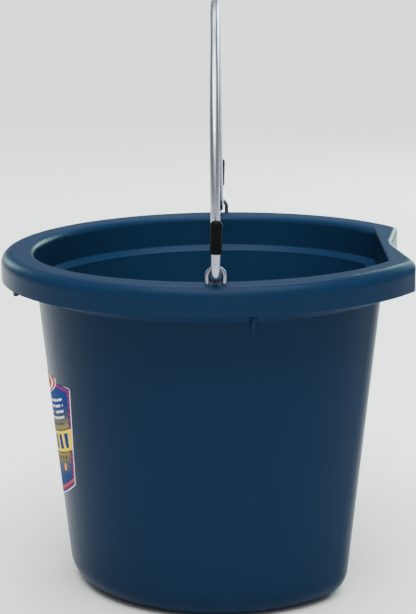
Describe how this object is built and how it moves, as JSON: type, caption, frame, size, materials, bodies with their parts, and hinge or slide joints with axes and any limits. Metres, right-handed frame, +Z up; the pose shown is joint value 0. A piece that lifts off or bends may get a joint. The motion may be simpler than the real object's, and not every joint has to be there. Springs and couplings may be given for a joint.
{
  "type": "flat-back feed bucket",
  "caption": "Moulded feed bucket with a flat back, a rolled rim with a drawn-in back edge, and a steel wire bail hooked through wire eyes on the rim.",
  "frame": {"origin": "on the floor, at the middle of the bounding box in plan", "axes": "+Z up, +Y towards the flat back, X along the bail's pivot axis"},
  "size_m": [0.3804, 0.3548, 0.511],
  "materials": {
    "polyethylene": "moulded, softly glossy navy blue",
    "galvanised_wire": "bright galvanised wire",
    "zinc_plated_steel": "zinc plated",
    "vinyl": "black dipped vinyl, satin",
    "printed_film": "printed glossy film"
  },
  "bodies": {
    "bucket": {"bucket_shell": "polyethylene", "front_label": "printed_film", "eye_left": "galvanised_wire", "eye_right": "galvanised_wire", "backing_plate_left": "zinc_plated_steel", "backing_plate_right": "zinc_plated_steel", "eye_nut_left_front": "zinc_plated_steel", "eye_nut_left_back": "zinc_plated_steel", "eye_nut_right_front": "zinc_plated_steel", "eye_nut_right_back": "zinc_plated_steel"},
    "bail": {"bail": "galvanised_wire", "bail_cap_left": "vinyl", "bail_cap_right": "vinyl"}
  },
  "joints": [
    {"name": "bail_swing", "type": "hinge", "parent": "bucket", "child": "bail", "pos_m": [0, 0.0126, 0.30315], "axis": [1, 0, 0], "range_deg": [-90, 90]}
  ]
}
